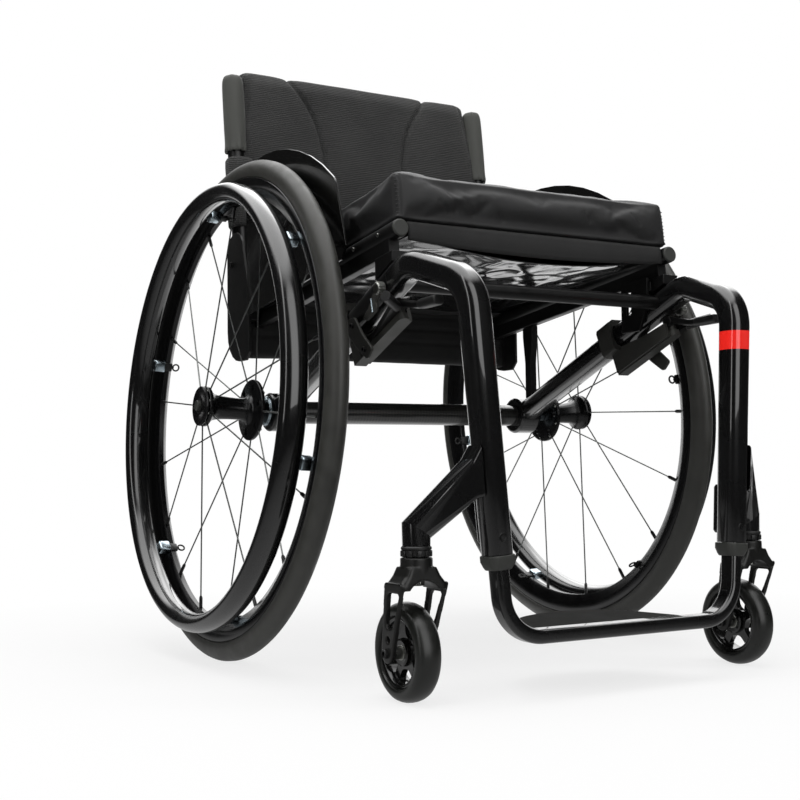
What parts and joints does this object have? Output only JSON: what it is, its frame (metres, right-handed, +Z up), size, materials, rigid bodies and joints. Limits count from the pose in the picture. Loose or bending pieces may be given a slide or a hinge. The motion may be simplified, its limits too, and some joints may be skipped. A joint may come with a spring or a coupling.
{
  "type": "rigid active wheelchair",
  "caption": "Rigid active manual wheelchair with cambered spoked rear wheels, swivelling casters, folding back and scissor brakes.",
  "frame": {"origin": "on the ground, at the middle of the chair's width and length", "axes": "+Z up, -Y the way the user faces, +X the user's left"},
  "size_m": [0.611, 0.7324, 0.75],
  "materials": {
    "gloss_black_frame_paint": "gloss black powder coat",
    "satin_black_metal": "satin black anodised",
    "matte_black_plastic": "matte moulded",
    "bright_steel": "bright turned",
    "lacquered_carbon": "lacquered carbon fibre",
    "grey_black_tyre_rubber": "matt rubber",
    "black_cloth": "woven nylon",
    "charcoal_pad_cover": "knitted cover over foam"
  },
  "bodies": {
    "frame": {"axle_pin_left": "bright_steel", "axle_pin_right": "bright_steel", "axle_tube": "lacquered_carbon", "back_hinge_bracket_left": "satin_black_metal", "back_hinge_bracket_right": "satin_black_metal", "brake_mount_left": "satin_black_metal", "brake_mount_right": "satin_black_metal", "camber_plug_left": "bright_steel", "camber_plug_right": "bright_steel", "caster_arm_left": "gloss_black_frame_paint", "caster_arm_right": "gloss_black_frame_paint", "footplate": "matte_black_plastic", "footrest_collar_left": "matte_black_plastic", "footrest_collar_right": "matte_black_plastic", "footrest_tube": "gloss_black_frame_paint", "front_cross_tube": "satin_black_metal", "front_seat_bracket_left": "satin_black_metal", "front_seat_bracket_right": "satin_black_metal", "rail_end_cap_left": "matte_black_plastic", "rail_end_cap_right": "matte_black_plastic", "rear_flap": "black_cloth", "rear_seat_post_left": "satin_black_metal", "rear_seat_post_right": "satin_black_metal", "seat_cushion": "black_cloth", "seat_rail_left": "satin_black_metal", "seat_rail_right": "satin_black_metal", "seat_sling": "black_cloth", "side_frame_left": "gloss_black_frame_paint", "side_frame_right": "gloss_black_frame_paint", "sideguard_left": "matte_black_plastic", "sideguard_right": "matte_black_plastic", "stem_cover_left": "matte_black_plastic", "stem_cover_right": "matte_black_plastic"},
    "rear_wheel_right": {"wheel_hub_right": "satin_black_metal", "wheel_rim_right": "satin_black_metal", "rear_tyre_right": "grey_black_tyre_rubber", "handrim_right": "gloss_black_frame_paint"},
    "caster_swivel_right": {"caster_fork_right": "gloss_black_frame_paint"},
    "caster_wheel_right": {"caster_hub_right": "matte_black_plastic", "caster_tyre_right": "grey_black_tyre_rubber"},
    "brake_lever_right": {"brake_lever_right": "satin_black_metal"},
    "brake_shoe_right": {"brake_shoe_right": "satin_black_metal"},
    "axle_button_right": {"release_button_right": "matte_black_plastic"},
    "rear_wheel_left": {"wheel_hub_left": "satin_black_metal", "wheel_rim_left": "satin_black_metal", "rear_tyre_left": "grey_black_tyre_rubber", "handrim_left": "gloss_black_frame_paint"},
    "caster_swivel_left": {"caster_fork_left": "gloss_black_frame_paint"},
    "caster_wheel_left": {"caster_hub_left": "matte_black_plastic", "caster_tyre_left": "grey_black_tyre_rubber"},
    "brake_lever_left": {"brake_lever_left": "satin_black_metal"},
    "brake_shoe_left": {"brake_shoe_left": "satin_black_metal"},
    "axle_button_left": {"release_button_left": "matte_black_plastic"},
    "backrest": {"back_post_right": "satin_black_metal", "back_post_left": "satin_black_metal", "post_pad_right": "charcoal_pad_cover", "post_pad_left": "charcoal_pad_cover", "back_bar": "satin_black_metal", "back_upholstery": "black_cloth"}
  },
  "joints": [
    {"name": "rear_wheel_spin_right", "type": "hinge", "parent": "frame", "child": "rear_wheel_right", "pos_m": [-0.24202, 0.07117, 0.29466], "axis": [0.9982, 0, -0.0593], "continuous": true},
    {"name": "caster_swivel_right", "type": "hinge", "parent": "frame", "child": "caster_swivel_right", "pos_m": [-0.211, -0.31103, 0.14], "axis": [0, 0, 1], "continuous": true},
    {"name": "caster_wheel_spin_right", "type": "hinge", "parent": "caster_swivel_right", "child": "caster_wheel_right", "pos_m": [-0.211, -0.29183, 0.047], "axis": [1, 0, 0], "continuous": true},
    {"name": "brake_lever_turn_right", "type": "hinge", "parent": "frame", "child": "brake_lever_right", "pos_m": [-0.18, -0.22849, 0.39021], "axis": [0, -0.3739, -0.9275], "range_deg": [0, 90]},
    {"name": "brake_shoe_swing_right", "type": "hinge", "parent": "frame", "child": "brake_shoe_right", "pos_m": [-0.18, -0.18465, 0.35453], "axis": [0, -0.3739, -0.9275], "range_deg": [0, 40.5]},
    {"name": "axle_button_press_right", "type": "slide", "parent": "frame", "child": "axle_button_right", "axis": [0.9982, 0, -0.0593], "range_m": [0, 0.003], "stiffness_N_per_m": 1500, "springref_m": -0.002},
    {"name": "rear_wheel_spin_left", "type": "hinge", "parent": "frame", "child": "rear_wheel_left", "pos_m": [0.24202, 0.07117, 0.29466], "axis": [0.9982, 0, 0.0593], "continuous": true},
    {"name": "caster_swivel_left", "type": "hinge", "parent": "frame", "child": "caster_swivel_left", "pos_m": [0.211, -0.31103, 0.14], "axis": [0, 0, 1], "continuous": true},
    {"name": "caster_wheel_spin_left", "type": "hinge", "parent": "caster_swivel_left", "child": "caster_wheel_left", "pos_m": [0.211, -0.29183, 0.047], "axis": [1, 0, 0], "continuous": true},
    {"name": "brake_lever_turn_left", "type": "hinge", "parent": "frame", "child": "brake_lever_left", "pos_m": [0.18, -0.22849, 0.39021], "axis": [0, 0.3739, 0.9275], "range_deg": [0, 90]},
    {"name": "brake_shoe_swing_left", "type": "hinge", "parent": "frame", "child": "brake_shoe_left", "pos_m": [0.18, -0.18465, 0.35453], "axis": [0, 0.3739, 0.9275], "range_deg": [0, 40.5]},
    {"name": "axle_button_press_left", "type": "slide", "parent": "frame", "child": "axle_button_left", "axis": [-0.9982, 0, -0.0593], "range_m": [0, 0.003], "stiffness_N_per_m": 1500, "springref_m": -0.002},
    {"name": "backrest_fold", "type": "hinge", "parent": "frame", "child": "backrest", "pos_m": [0, 0.16767, 0.484], "axis": [1, 0, 0], "range_deg": [0, 70]}
  ],
  "couplings": [
    {"joint": "brake_shoe_swing_right", "follows": "brake_lever_turn_right", "ratio": 0.45},
    {"joint": "brake_shoe_swing_left", "follows": "brake_lever_turn_left", "ratio": 0.45}
  ]
}
